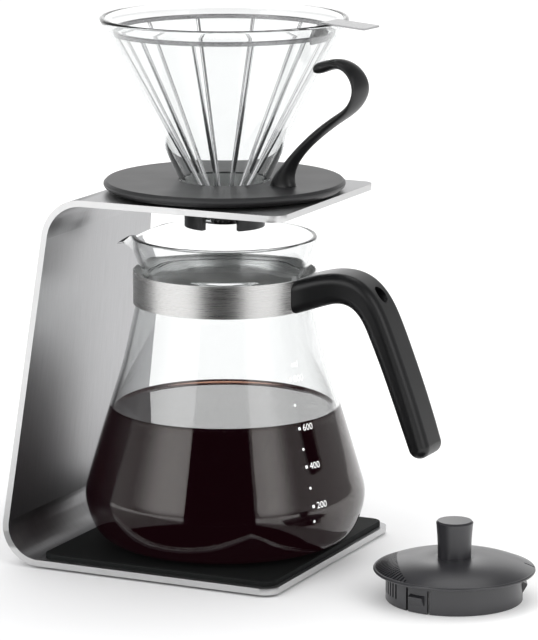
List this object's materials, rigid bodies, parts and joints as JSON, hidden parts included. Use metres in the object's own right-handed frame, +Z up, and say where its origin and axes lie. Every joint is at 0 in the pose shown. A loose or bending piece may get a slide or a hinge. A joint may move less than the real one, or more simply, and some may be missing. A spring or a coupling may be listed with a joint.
{
  "type": "pour-over coffee brewer",
  "caption": "Manual pour-over coffee brewer: C-shaped steel stand, glass cone dripper with wire filter cage and hook handle, glass carafe with banded handle, loose vented lid.",
  "frame": {"origin": "on the table, on the upright axis shared by the dripper and the carafe", "axes": "+X from the stand's spine to its open end, +Z up, +Y to the left when looking along +X"},
  "size_m": [0.2459, 0.131, 0.2523],
  "materials": {
    "brushed_steel": "fine brushed, bright cut edges",
    "cage_wire": "polished wire",
    "screw_steel": "turned",
    "mat_rubber": "satin",
    "seal_silicone": "satin",
    "disc_plastic": "satin moulded",
    "handle_plastic": "satin moulded",
    "lid_plastic": "satin moulded",
    "clear_glass": "clear polished"
  },
  "bodies": {
    "stand": {"stand_frame": "brushed_steel", "base_mat": "mat_rubber", "foot_sheet": "mat_rubber"},
    "dripper": {"dripper_base": "disc_plastic", "cone_seal": "seal_silicone", "glass_cone": "clear_glass", "drip_nozzle": "disc_plastic", "dripper_handle": "handle_plastic", "dripper_handle_screw": "screw_steel"},
    "filter_cage": {"cage_top_ring": "cage_wire", "cage_bottom_ring": "cage_wire", "cage_tab": "cage_wire", "cage_rod_01": "cage_wire", "cage_rod_02": "cage_wire", "cage_rod_03": "cage_wire", "cage_rod_04": "cage_wire", "cage_rod_05": "cage_wire", "cage_rod_06": "cage_wire", "cage_rod_07": "cage_wire", "cage_rod_08": "cage_wire", "cage_rod_09": "cage_wire", "cage_rod_10": "cage_wire", "cage_rod_11": "cage_wire", "cage_rod_12": "cage_wire"},
    "carafe": {"carafe_glass": "clear_glass", "carafe_band": "brushed_steel", "band_liner": "seal_silicone", "band_bracket": "screw_steel", "carafe_handle": "handle_plastic", "handle_screw": "screw_steel"},
    "lid": {"lid_disc": "lid_plastic", "lid_skirt": "lid_plastic", "lid_knob": "lid_plastic", "lid_knob_screw": "screw_steel"}
  },
  "joints": [
    {"name": "dripper_lift", "type": "slide", "parent": "stand", "child": "dripper", "axis": [0, 0, 1], "range_m": [0, 0.07]},
    {"name": "cage_lift", "type": "slide", "parent": "dripper", "child": "filter_cage", "axis": [0, 0, 1], "range_m": [0, 0.09]},
    {"name": "carafe_slide", "type": "slide", "parent": "stand", "child": "carafe", "axis": [0, -1, 0], "range_m": [0, 0.15]},
    {"name": "lid_lift", "type": "slide", "parent": "stand", "child": "lid", "axis": [0.7071, 0, 0.7071], "range_m": [0, 0.12]}
  ]
}
